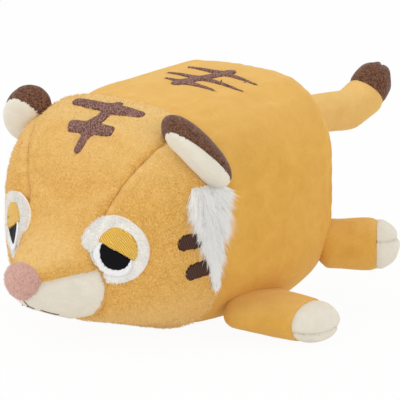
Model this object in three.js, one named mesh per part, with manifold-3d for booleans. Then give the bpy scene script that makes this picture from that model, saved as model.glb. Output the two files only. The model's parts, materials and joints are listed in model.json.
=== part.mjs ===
// A plush tiger that lies on its belly: one stuffed bean of a body, with ears, legs and a tail sewn on.
// Millimetres, +Z up. The tiger looks along -Y, its left side is +X, and it rests on z = 0.
import * as THREE from 'three';
import { mergeVertices } from 'three/addons/utils/BufferGeometryUtils.js';
import Module from 'manifold-3d';

const wasm = await Module();
wasm.setup();

// Driving dimensions.
const trunkLength = 146;
const trunkWidth = 197;
const trunkHeight = 174.5;
const headLength = 117;
// The head is sewn to the trunk, so at the neck it is as wide and high as the trunk.
const neckShares = { trunkWide: 0.955, trunkHigh: 0.948, headHigh: 0.985 };
const headWidth = trunkWidth * neckShares.trunkWide;
const headHeight = trunkHeight * neckShares.trunkHigh / neckShares.headHigh;
const neckSeamY = -47;
const rumpSeamShare = 0.137;

// Cloth and the small gap that neighbours keep.
const clothThickness = 2;
const seamGap = 0.3;
const flatDepth = 0.5;
const cutReach = 400;

const bodySquareness = 2.9;
const bodySides = 24;
const trunkRings = 13;
const headRings = 18;

// Stations of a form: [place along the length, width, top, bottom], each a share of the form's own size.
const trunkShares = [
  [0, 0, 0.53, 0.53], [0.012, 0.35, 0.72, 0.375], [0.036, 0.55, 0.83, 0.26], [0.079, 0.7, 0.92, 0.17],
  [0.134, 0.81, 0.97, 0.11], [0.199, 0.88, 0.995, 0.065], [0.268, 0.92, 1, 0.04], [0.483, 0.99, 0.98, 0.004],
  [0.752, 0.99, 0.965, 0], [1, neckShares.trunkWide, neckShares.trunkHigh, 0],
  [1.1, 0.8, 0.83, 0.08], [1.16, 0, 0.5, 0.5],
];
const headShares = [
  [-0.32, 0, 0.5, 0.5], [-0.25, 0.8, 0.9, 0.1], [0, 1, neckShares.headHigh, 0.007],
  [0.11, 0.995, 0.995, 0.012],
  [0.24, 0.973, 0.975, 0.034], [0.37, 0.925, 0.922, 0.056], [0.47, 0.835, 0.845, 0.076],
  [0.55, 0.71, 0.75, 0.091], [0.6, 0.575, 0.643, 0.101], [0.645, 0.46, 0.553, 0.109],
  [0.72, 0.365, 0.47, 0.124], [0.82, 0.285, 0.425, 0.15], [0.905, 0.2, 0.39, 0.188],
  [0.965, 0.11, 0.355, 0.236], [1, 0, 0.295, 0.295],
];

const colours = {
  gold: '#e2ab58', paleGold: '#e9b864', cream: '#f0eadb', brown: '#6b4a3c', markBrown: '#7a5148',
  darkBrown: '#4a2a1a', nosePink: '#c0897f', black: '#15151a', lidGold: '#e5b548', white: '#f6f4f0',
  wadding: '#f4f2ee', grey: '#8a7f7a',
};

const upward = new THREE.Vector3(0, 0, 1);

const signedPower = (value, power) => Math.sign(value) * Math.abs(value) ** power;

// A rounded form strung along -Y. A spine, where given, bends it in its own YZ plane.
function softForm({
  start = 0, length, width, height, drop = 0, shares, squareness, spine = null, sides, rings,
}) {
  const sections = new THREE.CatmullRomCurve3(
    shares.map(([, wide, high, low]) => new THREE.Vector3(wide, high, low)), false, 'catmullrom');
  const places = new THREE.SplineCurve(shares.map(([along], index) => new THREE.Vector2(index, along)));

  const pointAt = (t, angle) => {
    const section = sections.getPoint(t);
    const along = places.getPoint(t).y;
    const middle = (section.y + section.z) / 2 * height - drop;
    const halfHeight = (section.y - section.z) / 2 * height;
    const x = section.x * width / 2 * signedPower(Math.cos(angle), 2 / squareness);
    const z = middle + halfHeight * signedPower(Math.sin(angle), 2 / squareness);
    if (!spine) return new THREE.Vector3(x, start - along * length, z);
    const share = THREE.MathUtils.clamp(along, 0, 1);
    const tangent = spine.getTangentAt(share);
    return spine.getPointAt(share)
      .addScaledVector(tangent, (along - share) * length)
      .addScaledVector(new THREE.Vector3(0, tangent.z, -tangent.y), z)
      .setX(x);
  };

  const forwardAt = (t, angle) => {
    const step = 1 / (4 * rings);
    return pointAt(t + step, angle).sub(pointAt(t - step, angle)).normalize();
  };

  const normalAt = (t, angle) => {
    const step = Math.PI / (4 * sides);
    const around = pointAt(t, angle + step).sub(pointAt(t, angle - step));
    return around.cross(forwardAt(t, angle)).normalize();
  };

  // The form's skin, moved out along its normals by an offset. A side of it, not an edge, lies undermost.
  const skin = (offset) => {
    const ball = new THREE.SphereGeometry(1, sides, rings);
    ball.deleteAttribute('normal');
    ball.deleteAttribute('uv');
    const geometry = mergeVertices(ball);
    const position = geometry.attributes.position;
    for (let index = 0; index < position.count; index += 1) {
      const unit = new THREE.Vector3().fromBufferAttribute(position, index);
      const t = Math.acos(THREE.MathUtils.clamp(unit.y, -1, 1)) / Math.PI;
      const point = pointAt(t, Math.atan2(unit.z, unit.x) + Math.PI / sides);
      position.setXYZ(index, point.x, point.y, point.z);
    }
    geometry.computeVertexNormals();
    const normal = geometry.attributes.normal;
    for (let index = 0; index < position.count; index += 1) {
      const point = new THREE.Vector3().fromBufferAttribute(position, index);
      point.addScaledVector(new THREE.Vector3().fromBufferAttribute(normal, index), offset);
      position.setXYZ(index, point.x, point.y, point.z);
    }
    return geometry;
  };

  return { pointAt, normalAt, skin };
}

// Closed geometry to a solid that can be cut and joined, and back.
function solidOf(geometry) {
  const bare = geometry.clone();
  bare.deleteAttribute('normal');
  bare.deleteAttribute('uv');
  const merged = mergeVertices(bare);
  const vertProperties = Float32Array.from(merged.attributes.position.array);
  const triVerts = Uint32Array.from(merged.index.array);
  return new wasm.Manifold(new wasm.Mesh({ numProp: 3, vertProperties, triVerts }));
}

function geometryOf(solid) {
  const mesh = solid.getMesh();
  const geometry = new THREE.BufferGeometry();
  geometry.setAttribute('position', new THREE.BufferAttribute(Float32Array.from(mesh.vertProperties), 3));
  geometry.setIndex(new THREE.BufferAttribute(Uint32Array.from(mesh.triVerts), 1));
  geometry.computeVertexNormals();
  return geometry;
}

// A block between two corners.
function block(low, high) {
  const size = high.clone().sub(low);
  const middle = low.clone().add(high).multiplyScalar(0.5);
  return solidOf(new THREE.BoxGeometry(size.x, size.y, size.z).translate(middle.x, middle.y, middle.z));
}

// Everything on one side of a plane square to an axis.
const farLow = new THREE.Vector3(-cutReach, -cutReach, -cutReach);
const farHigh = new THREE.Vector3(cutReach, cutReach, cutReach);
const behind = (y) => block(farLow.clone().setY(y), farHigh);
const before = (y) => block(farLow, farHigh.clone().setY(y));
const above = (z) => block(farLow.clone().setZ(z), farHigh);
const leftOf = (x) => block(farLow.clone().setX(x), farHigh);

// The same geometry on the other side of the tiger.
function mirrored(geometry) {
  const copy = geometry.clone().scale(-1, 1, 1);
  const index = copy.index.array;
  for (let corner = 0; corner < index.length; corner += 3) {
    [index[corner], index[corner + 1]] = [index[corner + 1], index[corner]];
  }
  copy.computeVertexNormals();
  return copy;
}

// An axis system with its origin, its -Y along a direction and its Z towards an upper side.
function placing(origin, direction, upper) {
  const backward = direction.clone().negate().normalize();
  const across = backward.clone().cross(upper).normalize();
  return new THREE.Matrix4().makeBasis(across, backward, across.clone().cross(backward)).setPosition(origin);
}

// An axis system on a form's skin: Z out of the skin, Y towards an upper direction.
function placeOn(form, shares, upper) {
  const outward = normalOn(form, shares);
  const lifted = upper.clone().addScaledVector(outward, -upper.dot(outward)).normalize();
  const across = lifted.clone().cross(outward);
  return new THREE.Matrix4().makeBasis(across, lifted, outward).setPosition(pointOn(form, shares));
}

const pointOn = (form, [t, turn]) => form.pointAt(t, turn * Math.PI);
const normalOn = (form, [t, turn]) => form.normalAt(t, turn * Math.PI);

function material(colour, roughness = 0.95) {
  return new THREE.MeshStandardMaterial({ color: colour, roughness, metalness: 0 });
}

function piece(name, geometry, colour, roughness) {
  const mesh = new THREE.Mesh(geometry, material(colour, roughness));
  mesh.name = name;
  return mesh;
}

// Outlines in the plane of a skin.
function strokeShape(from, to, wide) {
  const turn = Math.atan2(to.y - from.y, to.x - from.x);
  const shape = new THREE.Shape();
  shape.absarc(from.x, from.y, wide / 2, turn + Math.PI / 2, turn + Math.PI * 3 / 2, false);
  shape.absarc(to.x, to.y, wide / 2, turn - Math.PI / 2, turn + Math.PI / 2, false);
  return shape;
}

function discShape(radius, fromTurn = 0, toTurn = 2) {
  const shape = new THREE.Shape();
  shape.absarc(0, 0, radius, fromTurn * Math.PI, toTurn * Math.PI, false);
  return shape;
}

// Thin work on a skin: what lies under the outlines between two heights over the form.
function workOn(form, place, outlines, low, high, depth) {
  const columns = outlines.map((shape) => solidOf(new THREE.ExtrudeGeometry(shape, {
    depth: 2 * depth, bevelEnabled: false, curveSegments: 5,
  }).translate(0, 0, -depth).applyMatrix4(place)));
  const column = columns.reduce((whole, next) => whole.add(next));
  return column.intersect(solidOf(form.skin(high))).subtract(solidOf(form.skin(low)));
}

const trunkForm = softForm({
  start: neckSeamY + trunkLength, length: trunkLength, width: trunkWidth, height: trunkHeight,
  drop: flatDepth, shares: trunkShares, squareness: bodySquareness, sides: bodySides, rings: trunkRings,
});
const headForm = softForm({
  start: neckSeamY, length: headLength, width: headWidth, height: headHeight,
  shares: headShares, squareness: bodySquareness, sides: bodySides, rings: headRings,
});

// The trunk's cloth is a sleeve from the neck seam to the rump seam, closed by a rump panel.
function trunkPieces() {
  const shell = solidOf(trunkForm.skin(0)).intersect(above(0))
    .subtract(solidOf(trunkForm.skin(-clothThickness)));
  const rumpSeamY = neckSeamY + trunkLength * (1 - rumpSeamShare);
  const sleeve = shell.intersect(behind(neckSeamY + seamGap / 2)).intersect(before(rumpSeamY - seamGap / 2));
  const rump = shell.intersect(behind(rumpSeamY + seamGap / 2));
  return [
    piece('trunk_cover', geometryOf(sleeve), colours.paleGold),
    piece('rump_cover', geometryOf(rump), colours.paleGold),
  ];
}

// The head's cloth: a forehead panel down to the nose, two cheek panels and a white muzzle panel below.
// The seams run in the view from the front, [across, up], and in the view from the side, [forward, up].
const dartShares = [[0.33, 2], [0.34, 0.887], [0.207, 0.6], [0.207, 0.22]];
const muzzleSeamShares = [[1.4, 0.236], [0.645, 0.353], [0.632, 0.305], [0.618, -1], [1.4, -1]];

function foreheadColumn(margin) {
  const right = dartShares.map(([wide, high]) => new THREE.Vector2(
    wide * headWidth + margin, high * headHeight));
  const left = right.map((point) => new THREE.Vector2(-point.x, point.y)).reverse();
  const column = new THREE.ExtrudeGeometry(new THREE.Shape([...right, ...left]), {
    depth: 2 * cutReach, bevelEnabled: false,
  });
  return solidOf(column.translate(0, 0, -cutReach).rotateX(Math.PI / 2));
}

function muzzleColumn(margin) {
  const outline = new THREE.Shape(muzzleSeamShares.map(([along, high]) => new THREE.Vector2(
    neckSeamY - along * headLength + margin, high * headHeight + margin)));
  const column = new THREE.ExtrudeGeometry(outline, { depth: 2 * cutReach, bevelEnabled: false });
  return solidOf(column.translate(0, 0, -cutReach).rotateY(Math.PI / 2).rotateX(Math.PI / 2));
}

function headPieces() {
  const shell = solidOf(headForm.skin(0)).subtract(solidOf(headForm.skin(-clothThickness)))
    .intersect(before(neckSeamY - seamGap / 2));
  const muzzle = shell.intersect(muzzleColumn(0));
  const upper = shell.subtract(muzzleColumn(seamGap));
  const forehead = upper.intersect(foreheadColumn(0));
  const cheeks = upper.subtract(foreheadColumn(seamGap));
  const cheek = geometryOf(cheeks.intersect(leftOf(seamGap / 2)));
  return [
    piece('forehead_cover', geometryOf(forehead), colours.gold),
    piece('muzzle_cover', geometryOf(muzzle), colours.cream),
    piece('cheek_cover_left', cheek, colours.gold),
    piece('cheek_cover_right', mirrored(cheek), colours.gold),
  ];
}

// One lump of wadding fills the trunk and the head and passes through the neck.
function bodyFilling() {
  const inset = -(clothThickness + seamGap);
  const trunkSide = solidOf(trunkForm.skin(inset));
  const headSide = solidOf(headForm.skin(inset));
  const neck = trunkSide.intersect(headSide);
  const filling = trunkSide.intersect(behind(neckSeamY + seamGap / 2))
    .add(headSide.intersect(before(neckSeamY - seamGap / 2)))
    .add(neck);
  return piece('body_filling', geometryOf(filling), colours.wadding);
}

// Embroidered marks, one motif on the forehead and one on the back. Points are [across, up].
const threadHeight = 0.8;
const workDepth = 18;
const foreheadMark = {
  placeShares: [0.343, 0.5], reach: 33, rise: 25, barWidth: 9.5, strokeWidth: 10,
  barShares: [[[-0.97, 0.54], [0.97, 0.56]], [[-0.47, -0.35], [0.6, -0.27]]],
  strokeShares: [[0, -0.72], [0.08, 0.75]],
};
const backMark = {
  placeShares: [0.657, 0.5], reach: 39, rise: 22, barWidth: 4.6, strokeWidth: 9,
  barShares: [
    [[-0.79, 0.77], [1.01, 0.64]], [[-0.89, -0.14], [1.08, -0.18]], [[-0.45, -0.82], [0.75, -0.86]],
  ],
  strokeShares: [[-0.12, -0.95], [0.21, 1]],
};

function markPiece(name, form, mark) {
  const place = placeOn(form, mark.placeShares, new THREE.Vector3(0, 1, 0));
  const strokeOf = (ends, wide) => {
    const [from, to] = ends.map(([across, up]) => new THREE.Vector2(across * mark.reach, up * mark.rise));
    return strokeShape(from, to, wide);
  };
  const outlines = mark.barShares.map((ends) => strokeOf(ends, mark.barWidth));
  outlines.push(strokeOf(mark.strokeShares, mark.strokeWidth));
  const work = workOn(form, place, outlines, seamGap, seamGap + threadHeight, workDepth);
  return piece(name, geometryOf(work), colours.markBrown, 0.85);
}

// An eye: a white pile patch, and on it an embroidered white rim, a drooping gold lid and a black half pupil.
const eye = {
  placeShares: [0.575, 0.07], patchRadius: 24.5, rimRadius: 18.5, discRadius: 15.5, lidDroop: -18,
  patchHeight: 1.3,
};

function eyePieces() {
  const place = placeOn(headForm, eye.placeShares, upward);
  const droop = THREE.MathUtils.degToRad(eye.lidDroop);
  const tilted = place.clone().multiply(new THREE.Matrix4().makeRotationZ(droop));
  const low = seamGap;
  const patchTop = low + eye.patchHeight;
  const threadLow = patchTop + seamGap;
  const threadTop = threadLow + threadHeight;
  const disc = (outline, bottom, top) => workOn(headForm, tilted, [outline], bottom, top, workDepth);
  const upperHalf = (margin) => solidOf(new THREE.BoxGeometry(cutReach, cutReach, cutReach)
    .translate(0, cutReach / 2 + margin, 0).applyMatrix4(tilted));
  const whole = disc(discShape(eye.discRadius), threadLow, threadTop);
  const rim = disc(discShape(eye.rimRadius), threadLow, threadTop)
    .subtract(disc(discShape(eye.discRadius + seamGap), seamGap, threadTop + seamGap))
    .subtract(upperHalf(0));
  return [
    ['eye_patch', disc(discShape(eye.patchRadius), low, patchTop), colours.white, 0.95],
    ['eye_rim', rim, colours.white, 0.6],
    ['eyelid', whole.intersect(upperHalf(seamGap / 2)), colours.lidGold, 0.5],
    ['pupil', whole.subtract(upperHalf(-seamGap / 2)), colours.black, 0.55],
  ];
}

// A tuft of long white pile hangs from the neck seam below each ear.
const tuft = {
  length: 74, width: 38, thickness: 24, squareness: 2, sides: 10, rings: 8,
  topShares: [0.235, 0.082], pointShares: [0.18, -0.12],
  shares: [
    [0, 0, 0, 0], [0.06, 0.7, 0.3, -0.5], [0.2, 1, 0.5, -0.5], [0.45, 0.8, 0.42, -0.5],
    [0.75, 0.4, 0.25, -0.5], [1, 0, 0, 0],
  ],
};

function tuftShape(margin) {
  const form = limbForm(tuft);
  const top = pointOn(headForm, tuft.topShares);
  const downward = pointOn(headForm, tuft.pointShares).sub(top);
  const place = placing(top, downward, normalOn(headForm, tuft.topShares));
  return solidOf(form.skin(margin).applyMatrix4(place));
}

function tuftSolid() {
  return tuftShape(0)
    .subtract(solidOf(headForm.skin(seamGap)))
    .subtract(solidOf(trunkForm.skin(seamGap)));
}

// Two embroidered stripes on each cheek run in under the tuft.
const stripe = {
  length: 16, width: 12.5, riseAngle: 18, upperShares: [0.319, -0.004], lowerShares: [0.284, -0.068],
};

function stripePieces() {
  const rise = THREE.MathUtils.degToRad(stripe.riseAngle);
  const end = new THREE.Vector2(Math.cos(rise), Math.sin(rise)).multiplyScalar(stripe.length / 2);
  const outline = strokeShape(end.clone().negate(), end, stripe.width);
  const stripeAt = (shares) => workOn(headForm, placeOn(headForm, shares, upward),
    [outline], seamGap, seamGap + threadHeight, workDepth).subtract(tuftShape(seamGap));
  return [
    ['cheek_stripe_upper', stripeAt(stripe.upperShares), colours.darkBrown, 0.6],
    ['cheek_stripe_lower', stripeAt(stripe.lowerShares), colours.darkBrown, 0.6],
  ];
}

// The nose is a small padded cushion sewn over the tip of the muzzle.
const nose = { width: 32, height: 28, depth: 25, set: 4, placeShare: 0.925, liftShare: 0.3 };

function noseBall(margin) {
  return solidOf(new THREE.SphereGeometry(1, 14, 8)
    .scale(nose.width / 2 + margin, nose.depth / 2 + margin, nose.height / 2 + margin)
    .translate(0, neckSeamY - headLength * nose.placeShare - nose.set / 2, headHeight * nose.liftShare));
}

function nosePiece() {
  const cushion = noseBall(0).subtract(solidOf(headForm.skin(seamGap)));
  return piece('nose', geometryOf(cushion), colours.nosePink, 0.9);
}

// The mouth is a line of grey thread under the nose.
const mouth = { placeShares: [0.905, -0.5], wide: 1.6, stem: 5, reach: 17, rise: 5 };

function mouthPiece() {
  const place = placeOn(headForm, mouth.placeShares, upward);
  const join = new THREE.Vector2(0, 0);
  const ends = [[0, mouth.stem], [mouth.reach, -mouth.rise], [-mouth.reach, -mouth.rise]];
  const outlines = ends.map(([across, up]) => strokeShape(join, new THREE.Vector2(across, up), mouth.wide));
  const line = workOn(headForm, place, outlines, seamGap, seamGap + threadHeight, workDepth)
    .subtract(noseBall(seamGap));
  return piece('mouth_stitch', geometryOf(line), colours.grey);
}

// A limb, ear or tuft as a form of its own, with its root at the origin.
function limbForm(limb, shares = limb.shares) {
  return softForm({
    length: limb.length, width: limb.width, height: limb.thickness, shares, squareness: limb.squareness,
    spine: limb.spine, sides: limb.sides, rings: limb.rings,
  });
}

// Limbs are built about their own hinge: the seam they are sewn on with lies on X, and they reach along -Y.
// Their root is cut to clear the body at rest and as far as the seam lets them swing.
const swingSteps = 2;

function clearOf(limb, carrier, place, swing) {
  let cleared = limb;
  const home = place.clone().invert();
  for (let step = 0; step <= swingSteps; step += 1) {
    const angle = THREE.MathUtils.degToRad(swing.low + (swing.high - swing.low) * step / swingSteps);
    const turned = new THREE.Matrix4().makeRotationX(-angle).multiply(home);
    cleared = cleared.subtract(solidOf(carrier.skin(seamGap).applyMatrix4(turned)));
  }
  return cleared;
}

// A stuffed limb: a cloth sleeve, a cap of other cloth on its end, and the wadding inside both.
function stuffedLimb(limb, carrier, place) {
  const outer = limbForm(limb);
  const stuffedShares = limb.shares.filter(([along]) => along >= limb.rootShare);
  const [[rootAlong, , rootTop, rootBottom], ...rest] = stuffedShares;
  const rootMiddle = (rootTop + rootBottom) / 2;
  const inner = limbForm(limb, [[rootAlong, 0, rootMiddle, rootMiddle], ...rest]);
  const cleared = clearOf(solidOf(outer.skin(0)), carrier, place, limb.swing);
  const shell = cleared.subtract(solidOf(inner.skin(-clothThickness)));
  const filling = solidOf(inner.skin(-clothThickness - seamGap));
  const seam = limb.spine?.getPointAt(limb.capShare) ?? new THREE.Vector3(0, -limb.length * limb.capShare, 0);
  const tilt = limb.spine?.getTangentAt(limb.capShare) ?? new THREE.Vector3(0, -1, 0);
  const seamPlace = placing(seam, tilt, upward);
  const outside = (margin) => solidOf(geometryOf(before(-margin)).applyMatrix4(seamPlace));
  return {
    sleeve: geometryOf(shell.subtract(outside(-seamGap / 2))),
    cap: geometryOf(shell.intersect(outside(seamGap / 2))),
    filling: geometryOf(filling),
  };
}

// A front leg is flat and wide at its root. A leg's swing is about its own X, low is upwards for a front leg.
const frontLeg = {
  length: 71, width: 78, thickness: 30, squareness: 2.2, sides: 12, rings: 8, capShare: 0.7, rootShare: 0.2,
  swing: { low: -25, high: 0 }, rootShares: [0.732, -0.218], lift: 2, towardsBack: 10,
  shares: [
    [-0.09, 0, 0, 0], [-0.04, 0.85, 0.15, -0.2], [0.06, 0.97, 0.27, -0.4], [0.2, 0.88, 0.36, -0.52],
    [0.4, 0.72, 0.4, -0.6], [0.6, 0.64, 0.38, -0.62], [0.8, 0.6, 0.32, -0.61], [0.93, 0.45, 0.16, -0.52],
    [1, 0, -0.2, -0.2],
  ],
};
const rearLeg = {
  length: 55, width: 40, thickness: 33, squareness: 2.2, sides: 12, rings: 8, capShare: 0.67, rootShare: 0.2,
  swing: { low: -20, high: 20 }, rootShares: [0.4, -0.147], towardsBack: 42,
  shares: [
    [-0.14, 0, 0, 0], [-0.08, 0.66, 0.3, -0.3], [0.03, 0.82, 0.42, -0.42], [0.2, 0.92, 0.46, -0.46],
    [0.45, 1, 0.5, -0.5], [0.7, 0.97, 0.49, -0.49], [0.9, 0.72, 0.36, -0.36], [1, 0, 0, 0],
  ],
};
const tail = {
  length: 150, width: 31, thickness: 31, squareness: 2, sides: 10, rings: 11, capShare: 0.8, rootShare: 0.12,
  swing: { low: -20, high: 20 }, rootShares: [0.092, 0.5],
  shares: [
    [-0.06, 0, 0, 0], [-0.04, 0.6, 0.3, -0.3], [0.02, 0.86, 0.43, -0.43], [0.12, 0.94, 0.47, -0.47],
    [0.35, 0.98, 0.49, -0.49], [0.6, 1.02, 0.51, -0.51], [0.8, 1.04, 0.52, -0.52], [0.94, 0.9, 0.45, -0.45],
    [1, 0, 0, 0],
  ],
};
const tailPathShares = [[0, 0], [-0.35, -0.014], [-0.625, -0.028], [-0.765, 0.07], [-0.83, 0.19]];
tail.spine = new THREE.CatmullRomCurve3(
  tailPathShares.map(([back, up]) => new THREE.Vector3(0, back * tail.length, up * tail.length)));

// An ear: a domed brown back and a flatter cream front, sewn to the head along its root.
const ear = {
  length: 31, width: 66, thickness: 24, squareness: 2.2, sides: 14, rings: 8, forwardAngle: 10,
  swing: { low: -20, high: 20 }, rootTopShares: [0.298, 0.312], rootLowShares: [0.22, 0.095],
  shares: [
    [-0.2, 0, 0, 0], [-0.12, 0.7, 0.35, -0.15], [0.1, 0.92, 0.6, -0.25], [0.38, 1, 0.7, -0.3],
    [0.68, 0.88, 0.6, -0.28], [0.88, 0.58, 0.4, -0.2], [1, 0, 0.08, 0.02],
  ],
};

function earPieces(place) {
  const cleared = clearOf(solidOf(limbForm(ear).skin(0)), headForm, place, ear.swing);
  return {
    back: geometryOf(cleared.intersect(above(seamGap / 2))),
    front: geometryOf(cleared.subtract(above(-seamGap / 2))),
  };
}

const mirror = new THREE.Matrix4().makeScale(-1, 1, 1);

// A limb's group stands at its hinge. The right side is the left side's mirror image.
function limbGroup(place, side, pieces) {
  const group = new THREE.Group();
  const stand = side > 0 ? place.clone() : mirror.clone().multiply(place).multiply(mirror);
  stand.decompose(group.position, group.quaternion, group.scale);
  for (const [name, geometry, colour] of pieces) {
    group.add(piece(name, side > 0 ? geometry : mirrored(geometry), colour));
  }
  return group;
}

function frontLegPlace() {
  const turn = THREE.MathUtils.degToRad(frontLeg.towardsBack);
  const direction = new THREE.Vector3(Math.cos(turn), Math.sin(turn), 0);
  const root = pointOn(trunkForm, frontLeg.rootShares)
    .addScaledVector(normalOn(trunkForm, frontLeg.rootShares), frontLeg.lift);
  return placing(root, direction, upward);
}

function rearLegPlace() {
  const turn = THREE.MathUtils.degToRad(rearLeg.towardsBack);
  const direction = new THREE.Vector3(Math.cos(turn), Math.sin(turn), 0);
  const forward = new THREE.Vector3(Math.sin(turn), -Math.cos(turn), 0);
  return placing(pointOn(trunkForm, rearLeg.rootShares), direction, forward);
}

const tailPlace = () => placing(pointOn(trunkForm, tail.rootShares), new THREE.Vector3(0, 1, 0), upward);

// An ear's root runs down the side of the head. The ear stands off square to it and leans forward.
function earPlace() {
  const top = pointOn(headForm, ear.rootTopShares);
  const low = pointOn(headForm, ear.rootLowShares);
  const root = top.clone().add(low).multiplyScalar(0.5);
  const along = low.clone().sub(top).normalize();
  const outward = normalOn(headForm, ear.rootTopShares).add(normalOn(headForm, ear.rootLowShares));
  outward.addScaledVector(along, -outward.dot(along)).normalize();
  outward.applyAxisAngle(along, THREE.MathUtils.degToRad(ear.forwardAngle));
  return placing(root, outward, outward.clone().cross(along));
}

function build() {
  const tiger = new THREE.Group();
  tiger.add(...trunkPieces(), ...headPieces(), bodyFilling(), nosePiece(), mouthPiece());
  tiger.add(markPiece('forehead_mark', headForm, foreheadMark));
  tiger.add(markPiece('back_mark', trunkForm, backMark));
  const pairs = [...eyePieces(), ...stripePieces(), ['fur_tuft', tuftSolid(), colours.white, 1]];
  for (const [name, solid, colour, roughness] of pairs) {
    const geometry = geometryOf(solid);
    tiger.add(piece(`${name}_left`, geometry, colour, roughness));
    tiger.add(piece(`${name}_right`, mirrored(geometry), colour, roughness));
  }

  const legs = [['front', frontLeg, frontLegPlace()], ['rear', rearLeg, rearLegPlace()]];
  for (const [which, leg, place] of legs) {
    const parts = stuffedLimb(leg, trunkForm, place);
    for (const [sideName, side] of [['left', 1], ['right', -1]]) {
      tiger.add(limbGroup(place, side, [
        [`${which}_leg_${sideName}`, parts.sleeve, colours.gold],
        [`${which}_paw_${sideName}`, parts.cap, colours.cream],
        [`${which}_leg_filling_${sideName}`, parts.filling, colours.wadding],
      ]));
    }
  }

  const tailParts = stuffedLimb(tail, trunkForm, tailPlace());
  tiger.add(limbGroup(tailPlace(), 1, [
    ['tail_cover', tailParts.sleeve, colours.gold],
    ['tail_tip', tailParts.cap, colours.brown],
    ['tail_filling', tailParts.filling, colours.wadding],
  ]));

  const earParts = earPieces(earPlace());
  for (const [sideName, side] of [['left', 1], ['right', -1]]) {
    tiger.add(limbGroup(earPlace(), side, [
      [`ear_back_${sideName}`, earParts.back, colours.brown],
      [`ear_front_${sideName}`, earParts.front, colours.cream],
    ]));
  }
  return tiger;
}

export default build();
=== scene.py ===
import itertools
import json
import math
import random

import bmesh
import bpy
from mathutils import Matrix, Vector, noise
from mathutils.bvhtree import BVHTree
from mathutils.kdtree import KDTree


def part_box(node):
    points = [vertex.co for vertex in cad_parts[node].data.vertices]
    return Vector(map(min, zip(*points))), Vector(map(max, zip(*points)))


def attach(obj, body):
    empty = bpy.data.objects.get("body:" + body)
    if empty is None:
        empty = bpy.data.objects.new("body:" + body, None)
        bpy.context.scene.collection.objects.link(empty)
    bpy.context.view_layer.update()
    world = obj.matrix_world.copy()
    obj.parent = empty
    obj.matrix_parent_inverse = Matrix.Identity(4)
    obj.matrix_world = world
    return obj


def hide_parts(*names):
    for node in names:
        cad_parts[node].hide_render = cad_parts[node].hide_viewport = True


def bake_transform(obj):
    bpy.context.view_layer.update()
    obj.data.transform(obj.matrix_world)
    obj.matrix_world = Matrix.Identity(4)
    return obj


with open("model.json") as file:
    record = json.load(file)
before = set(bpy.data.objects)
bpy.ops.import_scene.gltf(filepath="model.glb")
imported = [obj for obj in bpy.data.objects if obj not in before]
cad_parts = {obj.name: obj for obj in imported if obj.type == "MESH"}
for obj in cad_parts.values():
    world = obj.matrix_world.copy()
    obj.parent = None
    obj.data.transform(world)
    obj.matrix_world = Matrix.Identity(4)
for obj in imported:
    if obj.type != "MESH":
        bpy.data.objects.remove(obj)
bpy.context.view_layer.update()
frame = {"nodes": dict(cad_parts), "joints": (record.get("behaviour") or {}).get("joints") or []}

# Table and light. The toy lies on a seamless white sweep, seen through a long lens from its left front
# corner. Large soft boxes stand above, in front, behind and to the side, so shadows are short and faint.
scene = bpy.context.scene
camera_turn = math.radians(44)
camera_rise = math.radians(14)
camera_distance = 2.5
focal_length = 306
sensor_width = 36
aim = Vector((0.011, 0.0097, 0.082))
table_size = 6
paper_white = "#FFFFFF"
paper_grey = "#F2F1EF"
paper_glow = 0.3
paper_glow_seen = 0.65
room_light = 0.6
backdrop_light = 0.965


def linear(colour):
    """An sRGB hex colour as linear red, green, blue and alpha."""
    shares = [int(colour[place:place + 2], 16) / 255 for place in (1, 3, 5)]
    return [share / 12.92 if share <= 0.04045 else ((share + 0.055) / 1.055) ** 2.4 for share in shares] + [1]


def add(tree, kind, inputs=(), **settings):
    """Adds one shader node. Each input is a value, or the node or socket that it is linked to."""
    made = tree.nodes.new("ShaderNode" + kind)
    for name, value in settings.items():
        setattr(made, name, value)
    for name, value in dict(inputs).items():
        if isinstance(value, bpy.types.Node):
            value = value.outputs[0]
        if isinstance(value, bpy.types.NodeSocket):
            tree.links.new(value, made.inputs[name])
        else:
            made.inputs[name].default_value = value
    return made


def blank_material(name):
    """A new material and its node tree, which is empty."""
    material = bpy.data.materials.new(name)
    material.use_nodes = True
    material.node_tree.nodes.clear()
    return material, material.node_tree


def mesh_from(name, bm):
    """The finished mesh of a shape."""
    mesh = bpy.data.meshes.new(name)
    bm.to_mesh(mesh)
    bm.free()
    return mesh


def placed(name, data):
    """A new object in the scene."""
    made = bpy.data.objects.new(name, data)
    scene.collection.objects.link(made)
    return made


def towards(direction):
    """The turn that points an object's -Z along a direction."""
    return direction.to_track_quat("-Z", "Y")


def sweep_paper():
    """Matt white paper, lit from below as well. The camera sees plain white with a faint shadow on it."""
    material, tree = blank_material("sweep_paper")
    rays = add(tree, "LightPath")
    seen = add(tree, "Math", {0: rays.outputs["Is Camera Ray"], 1: paper_glow_seen, 2: paper_glow},
               operation="MULTIPLY_ADD")
    paper = add(tree, "BsdfDiffuse", {"Color": linear(paper_grey)})
    glow = add(tree, "Emission", {"Color": linear(paper_white), "Strength": 1.0})
    mixed = add(tree, "MixShader", {0: seen, 1: paper, 2: glow})
    add(tree, "OutputMaterial", {"Surface": mixed})
    return material


bm = bmesh.new()
bmesh.ops.create_grid(bm, x_segments=1, y_segments=1, size=table_size)
table = placed("table", mesh_from("table", bm))
table.data.materials.append(sweep_paper())

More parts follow.
